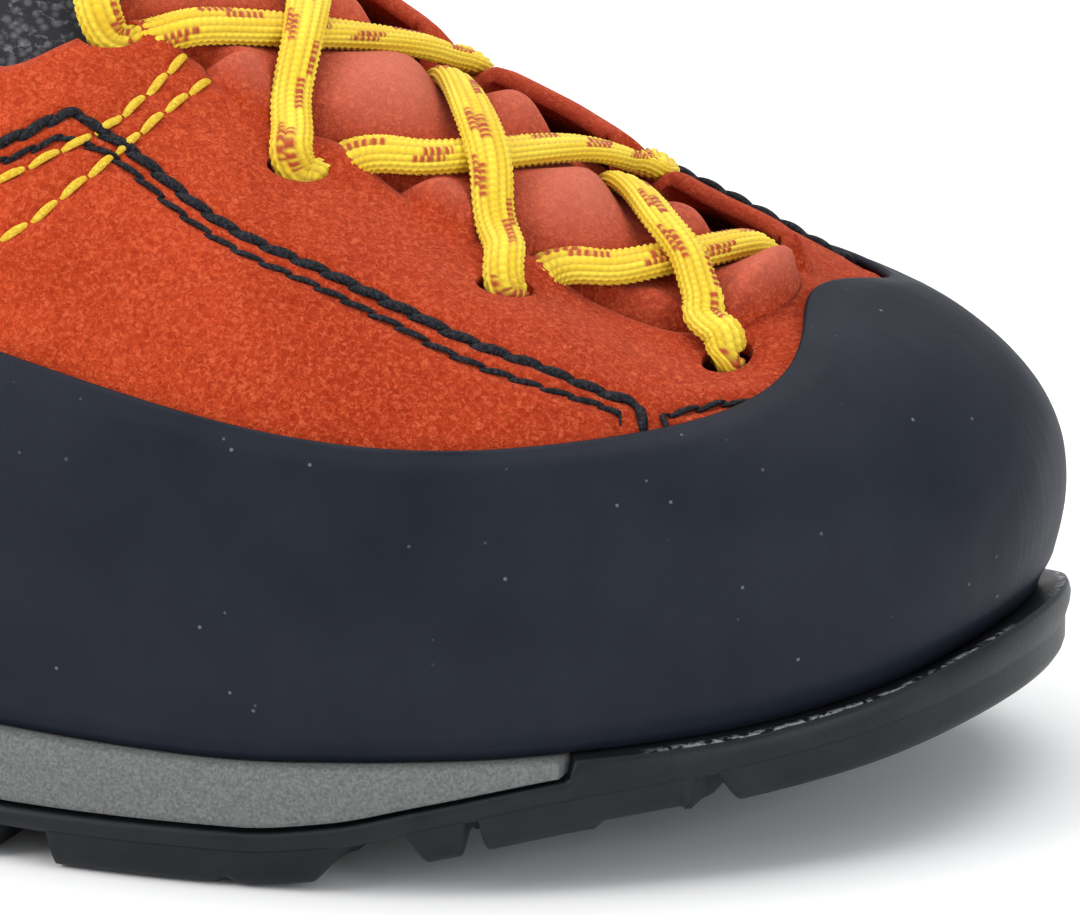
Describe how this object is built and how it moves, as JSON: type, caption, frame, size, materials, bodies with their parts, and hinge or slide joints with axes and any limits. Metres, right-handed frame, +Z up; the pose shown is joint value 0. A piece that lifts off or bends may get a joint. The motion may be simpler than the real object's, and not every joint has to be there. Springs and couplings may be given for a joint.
{
  "type": "approach shoe",
  "caption": "Low-cut approach shoe for the right foot with a red suede upper laced to the toe, a high black rubber rand, a grey foam midsole and yellow laces.",
  "frame": {"origin": "Middle of the footprint of the whole shoe, on the floor under the sole.", "axes": "+X points to the toe, -Y to the little toe (outer side of a right foot), +Z up."},
  "size_m": [0.293, 0.1078, 0.1307],
  "materials": {
    "rubber_black": "matte",
    "rubber_rand": "satin",
    "foam_grey": "matte",
    "suede_red": "matte",
    "mesh_grey": "matte",
    "lace_yellow": "matte",
    "insole_grey": "matte"
  },
  "bodies": {
    "root": {"outsole": "rubber_black", "midsole": "foam_grey", "insole": "insole_grey", "upper": "suede_red", "rand": "rubber_rand", "tongue": "suede_red", "collar_pad": "mesh_grey", "lace_crossing_1": "lace_yellow", "lace_crossing_2": "lace_yellow", "lace_crossing_3": "lace_yellow", "lace_crossing_4": "lace_yellow", "lace_crossing_5": "lace_yellow"}
  },
  "joints": []
}
